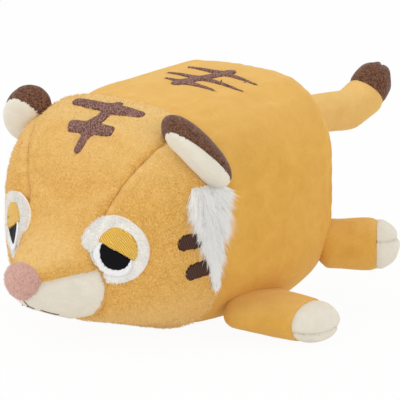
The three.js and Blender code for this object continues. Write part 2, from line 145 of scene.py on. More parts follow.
world = bpy.data.worlds.new("studio")
scene.world = world
world.use_nodes = True
studio = world.node_tree
studio.nodes.clear()
rays = add(studio, "LightPath")
seen_by = [rays.outputs[f"Is {kind} Ray"] for kind in ("Camera", "Glossy", "Transmission")]
direct = add(studio, "Math", {0: seen_by[0], 1: seen_by[1]}, operation="MAXIMUM")
through = add(studio, "Math", {0: direct, 1: seen_by[2]}, operation="MAXIMUM")
room = add(studio, "Background", {"Color": linear(paper_white), "Strength": room_light})
backdrop = add(studio, "Background", {"Color": linear(paper_white), "Strength": backdrop_light})
both = add(studio, "MixShader", {0: through, 1: room, 2: backdrop})
add(studio, "OutputWorld", {"Surface": both})

soft_boxes = {
    "top_box": {"place": (-0.3, -0.2, 1.6), "size": 1.6, "power": 6.5},
    "front_box": {"place": (-0.9, -1.6, 1.1), "size": 1.2, "power": 11.5},
    "side_box": {"place": (1.6, -0.4, 0.7), "size": 1.2, "power": 6},
    "back_box": {"place": (0.3, 1.6, 1.0), "size": 1.0, "power": 5},
}
for name, box in soft_boxes.items():
    lamp = bpy.data.lights.new(name, "AREA")
    lamp.size = box["size"]
    lamp.energy = box["power"]
    stand = placed(name, lamp)
    stand.location = box["place"]
    stand.rotation_mode = "QUATERNION"
    stand.rotation_quaternion = towards(aim - Vector(box["place"]))

camera_data = bpy.data.cameras.new("camera")
camera_data.lens = focal_length
camera_data.sensor_width = sensor_width
camera = placed("camera", camera_data)
level = math.cos(camera_rise)
eye_line = Vector((math.sin(camera_turn) * level, -math.cos(camera_turn) * level, math.sin(camera_rise)))
camera.location = aim + eye_line * camera_distance
camera.rotation_mode = "QUATERNION"
camera.rotation_quaternion = towards(-eye_line)
scene.camera = camera
scene.view_settings.view_transform = "Standard"

# Body and head cloth. Six panels of gold and cream plush are sewn edge to edge into one bean: a trunk sleeve,
# a rump panel, a forehead panel, two cheeks and a muzzle. Wadding holds it round, and each seam draws in.
neck_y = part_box("trunk_cover")[0][1]
rump_seam_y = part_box("rump_cover")[0][1]
rump_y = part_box("rump_cover")[1][1]
trunk_length = rump_y - neck_y
trunk_width = 0.197
trunk_height = 0.1745
head_length = 0.117
# The head is as wide and high as the trunk where they are sewn together.
neck_width_share = 0.955
neck_height_share = 0.948
head_top_share = 0.985
head_width = trunk_width * neck_width_share
head_height = trunk_height * neck_height_share / head_top_share
# Rows of [forward of the neck or rump, width, top, bottom], each a share of the head's or trunk's size.
head_shares = [
    [1, 0, 0.295, 0.295], [0.965, 0.11, 0.355, 0.236], [0.905, 0.2, 0.39, 0.188],
    [0.82, 0.285, 0.425, 0.15],
    [0.72, 0.365, 0.47, 0.124], [0.645, 0.46, 0.553, 0.109], [0.6, 0.575, 0.643, 0.101],
    [0.55, 0.71, 0.75, 0.091], [0.47, 0.835, 0.845, 0.076], [0.37, 0.925, 0.922, 0.056],
    [0.24, 0.973, 0.975, 0.034], [0.11, 0.995, 0.995, 0.012], [0, 1, head_top_share, 0.005],
]
trunk_shares = [
    [0.752, 0.99, 0.983, 0], [0.483, 0.99, 0.998, 0.004], [0.268, 0.92, 1.012, 0.04],
    [0.199, 0.88, 1, 0.065], [0.134, 0.81, 0.972, 0.11], [0.079, 0.7, 0.92, 0.17],
    [0.036, 0.55, 0.83, 0.26], [0.012, 0.35, 0.72, 0.375], [0, 0, 0.53, 0.53],
]
body_squareness = 2.9
same_place = 1e-5
body_sides = 96
body_rings = 76
air_pressure = 4
settle_frames = 20
settle_reach = 0.0025
seam_hold = 0.0035
seam_width = 0.0078
seam_depth = 0.003
pucker_width = 2.5 * seam_width
pucker_length = 0.007
pucker_depth = 0.0012
cloth_thickness = 0.0016
chin_seam_top = head_height / 4
shortest_edge = 0.0002
# Corners of the face seams, from the front as [across, up] and from the side as [forward, up].
dart_shares = [[0.33, 2], [0.34, 0.887], [0.207, 0.6], [0.207, 0.22]]
muzzle_seam_shares = [[1.4, 0.236], [0.645, 0.353], [0.632, 0.305], [0.618, -1]]


def row_between(rows, share):
    """A row part of the way through a table of rows, on a smooth curve through them."""
    place = share * (len(rows) - 1)
    index = min(int(place), len(rows) - 2)
    part = place - index
    before, here, after, beyond = [
        Vector(rows[min(max(index + step, 0), len(rows) - 1)]) for step in (-1, 0, 1, 2)]
    bend = 2 * before - 5 * here + 4 * after - beyond
    swing = 3 * here - before - 3 * after + beyond
    return 0.5 * (2 * here + (after - before) * part + bend * part ** 2 + swing * part ** 3)


def rounded_section(row, turn):
    """A point on a squarish oval that has a half width, a top and a bottom."""
    half_width, top, bottom = max(row[1], 1e-6), row[2], row[3]
    half_height = max((top - bottom) / 2, 1e-6)
    reach = (abs(math.cos(turn) / half_width) ** body_squareness
             + abs(math.sin(turn) / half_height) ** body_squareness) ** (-1 / body_squareness)
    return Vector((reach * math.cos(turn), row[0], (top + bottom) / 2 + reach * math.sin(turn)))


def body_rows():
    """The stations of the whole bean from nose to rump, in metres: [y, half width, top, bottom]."""
    halves = ((head_shares, neck_y, head_length, head_width, head_height),
              (trunk_shares, rump_y, trunk_length, trunk_width, trunk_height))
    return [[start - along * length, wide * width / 2, high * height, low * height]
            for shares, start, length, width, height in halves for along, wide, high, low in shares]


def bean():
    """The bean as a closed round mesh."""
    bm = bmesh.new()
    bmesh.ops.create_uvsphere(bm, u_segments=body_sides, v_segments=body_rings, radius=1)
    rows = body_rows()
    for vertex in bm.verts:
        share = math.acos(max(-1, min(1, vertex.co.z))) / math.pi
        turn = math.atan2(vertex.co.y, vertex.co.x)
        vertex.co = rounded_section(row_between(rows, share), turn)
        vertex.co.z = max(vertex.co.z, 0)
    bmesh.ops.recalc_face_normals(bm, faces=bm.faces)
    return bm


def cut_along(bm, point, normal, wanted):
    """Cuts the mesh's faces that are wanted along a plane."""
    faces = [face for face in bm.faces if wanted(face.calc_center_median())]
    edges = {edge for face in faces for edge in face.edges}
    verts = {vertex for face in faces for vertex in face.verts}
    bmesh.ops.bisect_plane(bm, geom=faces + list(edges | verts), plane_co=point, plane_no=normal,
                           dist=same_place)


def inside(corners, point):
    """Whether a point lies inside a flat outline."""
    count = 0
    for (x1, y1), (x2, y2) in zip(corners, corners[1:] + corners[:1]):
        if (y1 > point[1]) != (y2 > point[1]) and point[0] < x1 + (x2 - x1) * (point[1] - y1) / (y2 - y1):
            count += 1
    return count % 2 == 1


dart_corners = [(across * head_width, up * head_height) for across, up in dart_shares]
forehead_outline = dart_corners + [(-x, z) for x, z in reversed(dart_corners)]
muzzle_corners = [(neck_y - along * head_length, up * head_height) for along, up in muzzle_seam_shares]
muzzle_outline = muzzle_corners + [(muzzle_corners[0][0], muzzle_corners[-1][1])]


def panel_at(point):
    """The name of the panel that a point of the skin belongs to."""
    if point.y > rump_seam_y:
        return "rump_cover"
    if point.y > neck_y:
        return "trunk_cover"
    if inside(muzzle_outline, (point.y, point.z)):
        return "muzzle_cover"
    if inside(forehead_outline, (point.x, point.z)):
        return "forehead_cover"
    return "cheek_cover_left" if point.x > 0 else "cheek_cover_right"


def finder(points):
    """A finder of the nearest of some points."""
    tree = KDTree(len(points))
    for index, point in enumerate(points):
        tree.insert(point, index)
    tree.balance()
    return tree


def seam_tree(bm):
    """A finder of the nearest seam between two panels, from points close together along all of them."""
    names = {face: panel_at(face.calc_center_median()) for face in bm.faces}
    seams = [edge for edge in bm.edges if len({names[face] for face in edge.link_faces}) > 1]
    return finder([edge.verts[0].co.lerp(edge.verts[1].co, step / 4) for edge in seams for step in range(4)])


def settle(bm):
    """Lets the cloth settle round its wadding. Pressure swells each panel, and the seams hold it back."""
    tree = seam_tree(bm)
    mesh = bpy.data.meshes.new("settling")
    bm.to_mesh(mesh)
    holder = placed("settling", mesh)
    held = holder.vertex_groups.new(name="held")
    held.add([vertex.index for vertex in mesh.vertices
              if tree.find(vertex.co)[2] < seam_hold or vertex.co.z < seam_hold], 1, "REPLACE")
    cloth = holder.modifiers.new("cloth", "CLOTH")
    cloth.settings.vertex_group_mass = held.name
    cloth.settings.use_pressure = True
    cloth.settings.uniform_pressure_force = air_pressure
    cloth.settings.effector_weights.gravity = 0
    cloth.collision_settings.use_collision = False
    cloth.point_cache.frame_end = settle_frames
    for moment in range(1, settle_frames + 1):
        scene.frame_set(moment)
    settled = holder.evaluated_get(bpy.context.evaluated_depsgraph_get()).data.vertices
    moves = [after.co - before.co for after, before in zip(settled, mesh.vertices)]
    bpy.data.objects.remove(holder)
    scene.frame_set(1)
    bm.verts.ensure_lookup_table()
    for vertex, move in zip(bm.verts, moves):
        vertex.co += move * min(1, settle_reach / max(move.length, 1e-9))
        vertex.co.z = max(vertex.co.z, 0)


def smooth(bm, rounds):
    """Evens out the skin."""
    for _ in range(rounds):
        bmesh.ops.smooth_vert(bm, verts=bm.verts, factor=0.5, use_axis_x=True, use_axis_y=True,
                              use_axis_z=True)


def seamed_bean():
    """The settled bean with an edge along every seam."""
    bm = bean()
    settle(bm)
    bmesh.ops.subdivide_edges(bm, edges=bm.edges, cuts=1, use_grid_fill=True)
    smooth(bm, 1)
    for seam_y in (neck_y, rump_seam_y):
        cut_along(bm, (0, seam_y, 0), (0, 1, 0), lambda c: abs(c.y - seam_y) < seam_width)
    for side in (1, -1):
        for (x1, z1), (x2, z2) in zip(dart_corners, dart_corners[1:]):
            low, high = min(z1, z2) - seam_width, max(z1, z2) + seam_width
            cut_along(bm, (side * x1, 0, z1), (z2 - z1, 0, -side * (x2 - x1)),
                      lambda c: c.y < neck_y and c.x * side > 0 and low < c.z < high)
    for (y1, z1), (y2, z2) in zip(muzzle_corners, muzzle_corners[1:]):
        cut_along(bm, (0, y1, z1), (0, z2 - z1, y1 - y2),
                  lambda c: c.y < neck_y and min(y1, y2) - seam_width < c.y < max(y1, y2) + seam_width
                  and min(z1, z2) - seam_width < c.z < max(z1, z2) + seam_width)
    cut_along(bm, (0, 0, 0), (1, 0, 0), lambda c: c.y < neck_y and c.z < chin_seam_top)
    bmesh.ops.remove_doubles(bm, verts=bm.verts, dist=shortest_edge)
    bmesh.ops.recalc_face_normals(bm, faces=bm.faces)
    return bm


def move_out(bm, height_at):
    """Moves every vertex out along its normal, by the height that a function gives for it."""
    moves = [(vertex, vertex.normal * height_at(vertex)) for vertex in bm.verts]
    for vertex, move in moves:
        vertex.co += move


def swell(bm, height):
    """Moves the whole skin out along its normals."""
    bm.normal_update()
    move_out(bm, lambda vertex: height)


def draw_in_seams(bm):
    """Splits the cloth finer by its seams and lets it dip and pucker there."""
    tree = seam_tree(bm)
    near = [edge for edge in bm.edges
            if tree.find((edge.verts[0].co + edge.verts[1].co) / 2)[2] < seam_width]
    bmesh.ops.subdivide_edges(bm, edges=near, cuts=1, use_grid_fill=True)
    bmesh.ops.recalc_face_normals(bm, faces=bm.faces)

    def dip(vertex):
        """How far the stitches draw a vertex in, below zero."""
        place, _, distance = tree.find(vertex.co)
        drawn = max(0, 1 - distance / seam_width) ** 2
        wide = max(0, 1 - distance / pucker_width) ** 2
        pucker = noise.noise(place / pucker_length) * pucker_depth * wide
        return -(seam_depth * drawn + pucker)

    move_out(bm, dip)
    for vertex in bm.verts:
        vertex.co.z = max(vertex.co.z, 0)


def plush(name, colour, shade, pile, nap, depth, sheen=0.35, patchy=0.5, contrast=0.5, sheen_and_painted_light_tint=paper_white,
          painted_light_share=0.0):
    """Knitted plush: a short cut pile that stands nearly upright. Each tuft catches the light on its tip, and
    the nap leans in patches, so the cloth looks mottled. Pile is a tuft's width, nap a patch's, in metres.
    Patchy is the share of the mottling that the nap has. Where the cloth faces up or down, its colour is
    painted paler, as painted light from above and from the floor, by the share that the last argument gives."""
    material, tree = blank_material(name)
    coordinates = add(tree, "TexCoord")
    place = coordinates.outputs["Object"]
    tufts = add(tree, "TexNoise", {"Vector": place, "Scale": 1 / pile, "Detail": 3.0, "Roughness": 0.6})
    patches = add(tree, "TexNoise", {
        "Vector": place, "Scale": 1 / nap, "Detail": 2.0, "Roughness": 0.55, "Distortion": 0.6})
    height = add(tree, "Mix", {0: patchy, 2: tufts, 3: patches})
    spread = add(tree, "MapRange", {
        "Value": height, "From Min": 0.5 - 0.1 / contrast, "From Max": 0.5 + 0.1 / contrast})
    tint = add(tree, "MixRGB", {"Fac": spread, "Color1": linear(shade), "Color2": linear(colour)})
    # Painted light: where the cloth faces up or down, its colour is mixed towards the pale tint, as light
    # from above and from the floor. The same tint colours the sheen.
    facing = add(tree, "SeparateXYZ", {0: coordinates.outputs["Normal"]})
    level = add(tree, "Math", {0: facing.outputs[2]}, operation="ABSOLUTE")
    painted_light_mask = add(tree, "MapRange", {"Value": level, "From Min": 0.2, "To Max": painted_light_share})
    blended = add(tree, "MixRGB", {"Fac": painted_light_mask, "Color1": tint, "Color2": linear(sheen_and_painted_light_tint)})
    relief = add(tree, "Bump", {"Height": height, "Strength": 0.6, "Distance": depth})
    cloth = add(tree, "BsdfPrincipled", {
        "Base Color": blended, "Roughness": 0.92, "Specular IOR Level": 0.15, "Normal": relief,
        "Sheen Weight": sheen, "Sheen Roughness": 0.35, "Sheen Tint": linear(sheen_and_painted_light_tint)})
    add(tree, "OutputMaterial", {"Surface": cloth})
    return material


def piece(name, bm, material, slot, *replaced, body="body", thickness=0):
    """Makes a finished shape into a named piece that rides on a body and stands for CAD nodes. A sheet gets
    its thickness inwards."""
    made = placed(name, mesh_from(name, bm))
    made.data.shade_smooth()
    made.data.materials.append(material)
    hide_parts(*replaced)
    if body:
        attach(made, body)
    if thickness:
        wall = made.modifiers.new("cloth", "SOLIDIFY")
        wall.thickness = thickness
        wall.offset = -1
    return made


# Plush looks soft and matt, with a pale sheen at the edge where it turns away. Gold plush is also painted
# paler where it faces up or down, as painted light from above and from the floor. The body's is smooth, and
# the face's is brushed and rough. Real tufts are finer, under half a millimetre, and are drawn coarser so
# that they show. Wadding is matt and white.
# This pale gold tints the sheen, and it is the painted light on gold plush that faces up or down.
sheen_and_painted_light_gold = "#F1D08D"
smooth_plush = plush("smooth_gold_plush", "#E9B55A", "#D79F45", 0.0011, 0.014, 0.0004, sheen=0.8,
                     contrast=0.45, sheen_and_painted_light_tint=sheen_and_painted_light_gold, painted_light_share=0.22)
# The tail's sleeve is the trunk's gold plush, painted paler all over as painted light on its raised, upturned
# length.
tail_plush_painted_lighter = plush("gold_plush_painted_lighter", "#F0C579", "#DFB062", 0.0011, 0.014, 0.0004, sheen=0.8,
                   contrast=0.45, sheen_and_painted_light_tint=sheen_and_painted_light_gold, painted_light_share=0.2)
face_plush = plush("brushed_gold_plush", "#F0BE69", "#C8913D", 0.0012, 0.006, 0.0011, sheen=0.8,
                   patchy=0.25, contrast=0.65, sheen_and_painted_light_tint=sheen_and_painted_light_gold, painted_light_share=0.65)
cream_plush = plush("cream_plush", "#EFE9DB", "#E0D8C6", 0.0011, 0.008, 0.0006, contrast=0.35)
wadding_fibre = plush("white_fibre_wadding", "#F6F5F1", "#E4E2DC", 0.002, 0.015, 0.001)
wadding_inset = 0.0055
panel_finish = {
    "trunk_cover": (smooth_plush, "trunk_cloth"), "rump_cover": (smooth_plush, "trunk_cloth"),
    "forehead_cover": (face_plush, "face_cloth"), "muzzle_cover": (cream_plush, "cream_cloth"),
    "cheek_cover_left": (face_plush, "face_cloth"), "cheek_cover_right": (face_plush, "face_cloth"),
}
skin = seamed_bean()
taut_tree = BVHTree.FromBMesh(skin)
wadding = skin.copy()
draw_in_seams(skin)
skin_tree = BVHTree.FromBMesh(skin)
for panel, (cloth, slot) in panel_finish.items():
    bm = skin.copy()
    others = [face for face in bm.faces if panel_at(face.calc_center_median()) != panel]
    bmesh.ops.delete(bm, geom=others, context="FACES")
    made = piece(panel.replace("cover", "cloth"), bm, cloth, slot, panel, thickness=cloth_thickness)
swell(wadding, -wadding_inset)
piece("body_wadding", wadding, wadding_fibre, "wadding", "body_filling")

# Limb cloth. Each leg and the tail is a stuffed sleeve with a cap of other plush sewn over its end. Its open
# root is sewn flat on the body. The cap rides on the limb, while the sleeve and its wadding stay where they
# are.
limb_grain = 0.0022
root_hold = 0.007
root_sink = 0.0015
root_bend = 0.016
root_room = 0.012
cap_seam_width = 0.005
cap_seam_depth = 0.0012
limb_smoothing = 9
limb_fullness = 0.0005
leg_turns = {"front": math.radians(10), "rear": math.radians(42)}
tail_tip_lean = math.radians(43)
toe_shares = {"front": 0.33, "rear": 0.64}
toe_seam_width = 0.0042
toe_seam_depth = 0.0022
gather_folds = 5
gather_reach = 0.022
gather_depth = 0.0024
stuffing_inset = 0.0045
sides = {"left": 1, "right": -1}
# Curly pile is longer and rougher than plush, so it looks dark and mottled between its curls.
brown_plush = plush("curly_brown_plush", "#89604B", "#452C21", 0.0013, 0.004, 0.0016, sheen=0.3,
                    patchy=0.2, contrast=0.75)


def solid(node):
    """The mesh of a CAD solid."""
    return frame["nodes"][node].data


def root_block(node, hinge, outward):
    """A block with a CAD sleeve's section, for the room to swing that the solid leaves next to the body."""
    bm = bmesh.new()
    bm.from_mesh(solid(node))
    bmesh.ops.bisect_plane(bm, geom=bm.verts[:] + bm.edges[:] + bm.faces[:],
                           plane_co=hinge + outward * root_room, plane_no=outward,
                           clear_inner=True, clear_outer=True)
    ring = bmesh.ops.extrude_edge_only(bm, edges=bm.edges)["geom"]
    bmesh.ops.translate(bm, vec=-outward * (root_room + root_sink),
                        verts=[item for item in ring if isinstance(item, bmesh.types.BMVert)])
    hull = bmesh.ops.convex_hull(bm, input=bm.verts)
    bmesh.ops.delete(bm, geom=hull["geom_interior"] + hull["geom_unused"], context="VERTS")
    return mesh_from("block", bm)


def fused(meshes, grain, rounds):
    """One smooth closed skin round copies of solids. Only its outermost shell is kept."""
    bm = bmesh.new()
    for mesh in meshes:
        bm.from_mesh(mesh)
    bmesh.ops.remove_doubles(bm, verts=bm.verts, dist=same_place)
    holder = placed("fused", mesh_from("fused", bm))
    holder.modifiers.new("weld", "REMESH").voxel_size = grain
    bpy.context.view_layer.update()
    bm = bmesh.new()
    bm.from_object(holder, bpy.context.evaluated_depsgraph_get())
    bpy.data.objects.remove(holder)
    left, shells = set(bm.verts), []
    while left:
        shell, front = set(), [left.pop()]
        while front:
            vertex = front.pop()
            shell.add(vertex)
            reached = [edge.other_vert(vertex) for edge in vertex.link_edges]
            front += [other for other in reached if other in left]
            left.difference_update(reached)
        shells.append(shell)
    outer = max(shells, key=lambda shell: max(vertex.co.x for vertex in shell)
                - min(vertex.co.x for vertex in shell))
    bmesh.ops.delete(bm, geom=[vertex for vertex in bm.verts if vertex not in outer], context="VERTS")
    smooth(bm, rounds)
    bmesh.ops.recalc_face_normals(bm, faces=bm.faces)
    return bm


def sew_down(verts, hold):
    """Draws the part of a piece that lies next to the body down into the body's cloth."""
    for vertex in verts:
        place, normal, _, _ = skin_tree.find_nearest(vertex.co)
        height = (vertex.co - place).dot(normal)
        if height < hold:
            share = max(0, 1 - max(height, 0) / hold)
            vertex.co -= normal * (height + root_sink) * share * share * (3 - 2 * share)


def crease(bm, points, width, depth):
    """Draws the skin in along a line of stitches, given as points close together."""
    line = finder(points)
    bm.normal_update()
    move_out(bm, lambda vertex: -depth * max(0, 1 - line.find(vertex.co)[2] / width) ** 2)


def sew_seam(bm, point, direction, width, depth):
    """Draws the skin in along the line where a plane cuts it."""
    cut_along(bm, point, direction, lambda c: True)
    seam = [edge.verts[0].co.lerp(edge.verts[1].co, 0.5) for edge in bm.edges
            if all(abs((vertex.co - point).dot(direction)) < same_place for vertex in edge.verts)]
    crease(bm, seam, width, depth)


def beyond(bm, point, direction, wanted):
    """A copy of the mesh that holds only the faces beyond a plane, or only those before it."""
    part = bm.copy()
    faces = [face for face in part.faces
             if ((face.calc_center_median() - point).dot(direction) > 0) != wanted]
    bmesh.ops.delete(part, geom=faces, context="FACES")
    return part


def hinge_of(body):
    """Where the joint that carries a body lies."""
    return next(Vector(joint["pos_m"]) for joint in frame["joints"] if joint["child"] == body)


def gather(bm, tip, direction):
    """Draws the cloth together in folds that run out from a point."""
    upper = direction.orthogonal().normalized()
    across = direction.cross(upper)
    bm.normal_update()

    def dip(vertex):
        """How far the folds draw a vertex in, below zero."""
        reach = vertex.co - tip
        turn = math.atan2(reach.dot(upper), reach.dot(across))
        fold = 0.5 + 0.5 * math.cos(gather_folds * turn)
        return -gather_depth * max(0, 1 - reach.length / gather_reach) * fold

    move_out(bm, dip)


def limb(sleeve, cap, filling, body, outward, direction, seam_point, cloths, slots, toe_share=None):
    """A stuffed sleeve and its cap, parted along a sewn seam, and the wadding inside. A paw's cap has a seam
    round its toe, and the tail's is gathered at its tip."""
    hinge = hinge_of(body)
    solids = [solid(node) for node in (sleeve, cap, filling)]
    bm = fused(solids + [root_block(sleeve, hinge, outward)], limb_grain, limb_smoothing)
    swell(bm, limb_fullness)
    sew_down(bm.verts, root_hold)
    stuffing = bm.copy()
    swell(stuffing, -stuffing_inset)
    sew_seam(bm, seam_point, direction, cap_seam_width, cap_seam_depth)
    if toe_share:
        low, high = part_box(cap)
        toe = low.z + (high.z - low.z) * toe_share
        cut_along(bm, (0, 0, toe), (0, 0, 1), lambda c: (c - seam_point).dot(direction) > 0)
        stitches = [vertex.co.copy() for vertex in bm.verts
                    if abs(vertex.co.z - toe) < same_place and (vertex.co - seam_point).dot(direction) > 0]
        crease(bm, stitches, toe_seam_width, toe_seam_depth)
    else:
        tip = max((vertex.co for vertex in bm.verts), key=lambda co: co.dot(direction)).copy()
        gather(bm, tip, direction)
    start, stop = hinge - outward * root_sink, hinge + outward * root_bend
    for node, wanted, cloth, slot in zip((sleeve, cap), (False, True), cloths, slots):
        made = piece(f"{node}_cloth", beyond(bm, seam_point, direction, wanted), cloth, slot, node,
                     body=body if wanted else None, thickness=cloth_thickness)
        if not wanted:
            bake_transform(made)
            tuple(start)
            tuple(stop)
    made = piece(filling.replace("filling", "wadding"), stuffing, wadding_fibre, "wadding", filling,
                 body=None)
    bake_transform(made)
    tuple(start)
    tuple(stop)


def plane_under(node, direction):
    """The point of a CAD solid that lies furthest back along a direction."""
    return min((vertex.co for vertex in solid(node).vertices), key=lambda co: co.dot(direction)).copy()


for side_name, side in sides.items():
    for which, turn in leg_turns.items():
        outward = Vector((side * math.cos(turn), math.sin(turn), 0))
        leg, cap = f"{which}_leg_{side_name}", f"{which}_paw_{side_name}"
        limb(leg, cap, f"{which}_leg_filling_{side_name}", f"{leg}_body", outward, outward,
             plane_under(cap, outward), (smooth_plush, cream_plush), ("trunk_cloth", "cream_cloth"),
             toe_shares[which])
tail_direction = Vector((0, math.cos(tail_tip_lean), math.sin(tail_tip_lean)))
limb("tail_cover", "tail_tip", "tail_filling", "tail_body", Vector((0, 1, 0)), tail_direction,
     plane_under("tail_tip", tail_direction), (tail_plush_painted_lighter, brown_plush), ("trunk_cloth", "brown_pile"))

# Ears. Each is a flattened bag with a domed back of curly brown plush, which wraps round the rim on to a
# flatter cream front. Its root is sewn down on the head seam.
ear_grain = 0.0015
ear_smoothing = 7
ear_fullness = 0.0006
ear_hold = 0.004
ear_rim_wrap = -0.0008
ear_seam_tilt = math.radians(11)
ear_seam_width = 0.0032
ear_seam_depth = 0.0011


def broad_side(node):
    """The middle and the outward direction of a CAD solid's largest flat side."""
    groups = {}
    for polygon in solid(node).polygons:
        key = tuple(round(share, 2) for share in polygon.normal)
        groups.setdefault(key, []).append(polygon)
    flat = max(groups.values(), key=lambda group: sum(polygon.area for polygon in group))
    area = sum(polygon.area for polygon in flat)
    middle = sum((polygon.center * polygon.area for polygon in flat), Vector()) / area
    return middle, flat[0].normal.copy()


for side_name, side in sides.items():
    middle, backward = broad_side(f"ear_front_{side_name}")
    ear_body = f"ear_{side_name}_body"
    hinge = hinge_of(ear_body)
    outward = middle - hinge
    outward = (outward - backward * outward.dot(backward)).normalized()
    seam_point = middle - backward * ear_rim_wrap
    backward.rotate(Matrix.Rotation(side * ear_seam_tilt, 3, outward))
    solids = [solid(f"{node}_{side_name}") for node in ("ear_back", "ear_front")]
    bm = fused(solids, ear_grain, ear_smoothing)
    swell(bm, ear_fullness)
    sew_down(bm.verts, ear_hold)
    sew_seam(bm, seam_point, backward, ear_seam_width, ear_seam_depth)
    for node, wanted, cloth, slot in (("ear_back", True, brown_plush, "brown_pile"),
                                      ("ear_front", False, cream_plush, "cream_cloth")):
        made = piece(f"{node}_{side_name}_cloth", beyond(bm, seam_point, backward, wanted), cloth, slot,
                     f"{node}_{side_name}", body=None, thickness=cloth_thickness)
        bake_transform(made)
    bm.free()

# Nose. A small firm cushion of old-rose velvet, broader at its top, sewn down round its edge on the tip of
# the muzzle.
nose_width = 0.030
nose_height = 0.0257
nose_rise = 0.0006
nose_depth = 0.0255
nose_broader = 0.16
nose_hold = 0.0012
nose_pile_count = 2400
nose_pile_length = (0.001, 0.0018)
nose_pile_width = 0.0003
hair_clearness = 0.92
nose_low, nose_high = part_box("nose")
nose_middle = Vector((0, nose_low.y + nose_depth / 2, (nose_low.z + nose_high.z) / 2 + nose_rise))


def nose_point(way):
    """The point of the nose's velvet in one direction from its middle."""
    across = way.x * (1 + nose_broader * way.z)
    return nose_middle + Vector((across * nose_width, way.y * nose_depth, way.z * nose_height)) / 2


def rounded_nose():
    """A ball, broader at its top, with its edge drawn down to the cloth."""
    bm = bmesh.new()
    bmesh.ops.create_icosphere(bm, subdivisions=5, radius=1)
    rear = [vertex for vertex in bm.verts if vertex.co.y > 0]
    for vertex in bm.verts:
        vertex.co = nose_point(vertex.co)
    sew_down(rear, nose_hold)
    return bm


def fibre(source, start, leaving, lying, spread, lengths):
    """The points of a fibre that leaves its root one way and then lies another, and strays from both."""
    stray = Vector([source.uniform(-spread, spread) for _ in range(3)])
    half = source.uniform(*lengths) / 2
    middle = start + (leaving + stray) * half
    return [start, middle, middle + (lying + stray) * half]


def nose_fibre(source):
    """A short fibre on the front of the nose, combed away from its middle."""
    way = Vector([source.gauss(0, 1) for _ in range(3)]).normalized()
    way.y = -abs(way.y)
    lean = Vector((way.x, 0, way.z))
    return fibre(source, nose_point(way), way * 0.5 + lean * 0.6, way * 0.2 + lean * 0.8, 0.3,
                 nose_pile_length)


def threads(name, lines, width, laid=False):
    """Round threads along rows of points. Loose ones are thickest at the root. Laid ones are even, with
    closed ends."""
    curve = bpy.data.curves.new(name, "CURVE")
    curve.dimensions = "3D"
    curve.bevel_depth = width / 2
    curve.bevel_resolution = 2 if laid else 0
    curve.use_fill_caps = laid
    for points in lines:
        thread = curve.splines.new("POLY")
        thread.points.add(len(points) - 1)
        for index, (knot, point) in enumerate(zip(thread.points, points)):
            knot.co = point.to_4d()
            knot.radius = 1 if laid else max(0.05, 1 - (index / (len(points) - 1)) ** 2)
    holder = placed(name, curve)
    bpy.context.view_layer.update()
    drawn = holder.evaluated_get(bpy.context.evaluated_depsgraph_get())
    bm = bmesh.new()
    bm.from_mesh(bpy.data.meshes.new_from_object(drawn))
    bpy.data.objects.remove(holder)
    return bm


def strands(name, count, root, width):
    """Loose fibres. Root gives a fibre's points from a random source."""
    source = random.Random(name)
    return threads(name, [root(source) for _ in range(count)], width)


def hair(name, colour, shade):
    """Fine synthetic fibres. Each has a tint of its own, and lets light through to those under it, which
    looks soft. Real ones are far finer, and are drawn coarser so that they show."""
    material, tree = blank_material(name)
    chance = add(tree, "NewGeometry").outputs["Random Per Island"]
    tint = add(tree, "MixRGB", {"Fac": chance, "Color1": linear(shade), "Color2": linear(colour)})
    lit = add(tree, "BsdfPrincipled", {
        "Base Color": tint, "Roughness": 0.55, "Specular IOR Level": 0.3, "Sheen Weight": 0.2})
    rays = add(tree, "LightPath")
    unseen = add(tree, "Math", {0: rays.outputs["Is Shadow Ray"], 1: rays.outputs["Is Diffuse Ray"]},
                 operation="MAXIMUM")
    passing = add(tree, "Math", {0: unseen, 1: hair_clearness}, operation="MULTIPLY")
    clear = add(tree, "BsdfTransparent")
    both = add(tree, "MixShader", {0: passing, 1: lit, 2: clear})
    add(tree, "OutputMaterial", {"Surface": both})
    return material


# Velvet is a short dense pile, so the nose has a soft shine that changes with its nap.
nose_velvet = plush("rose_velvet", "#E0B3A4", "#BD8E84", 0.0009, 0.003, 0.0007, sheen=0.5, patchy=0.3,
                    contrast=0.9)
nose = piece("nose_cushion", rounded_nose(), nose_velvet, "nose_cloth", "nose")
piece("nose_pile", strands("nose_pile", nose_pile_count, nose_fibre, nose_pile_width),
      hair("rose_pile_fibres", "#F2D2C4", "#C99A8E"), "nose_cloth", "nose")

# Work on the skin. Cut patches and dense embroidery lie on the cloth with rounded edges. Each is drawn flat
# as an outline round its own middle, then laid on the curved skin.
frame_reach = 0.008
cast_height = 0.04
outline_step = 0.0001
least_slope = 0.4


def skin_frame(place, upper):
    """A frame on the skin nearest to a place: across, up along the skin, and outward."""
    spot = skin_tree.find_nearest(place)[0]
    corners = [Vector((x, y, z)) for x in (-1, 1) for y in (-1, 1) for z in (-1, 1)]
    normals = [skin_tree.find_nearest(spot + corner * frame_reach)[1] for corner in corners]
    outward = sum(normals, Vector()).normalized()
    up = (upper - outward * upper.dot(outward)).normalized()
    laid = Matrix((up.cross(outward), up, outward)).transposed().to_4x4()
    laid.translation = spot
    return laid


def on_skin(laid, across, up):
    """The skin's point and normal over a point of a flat drawing. Stiff work spans the dips of the seams."""
    start = laid @ Vector((across, up, cast_height))
    spot, normal, _, _ = taut_tree.ray_cast(start, -laid.col[2].xyz)
    if spot is None:
        spot, normal, _, _ = taut_tree.find_nearest(laid @ Vector((across, up, 0)))
    return spot, normal


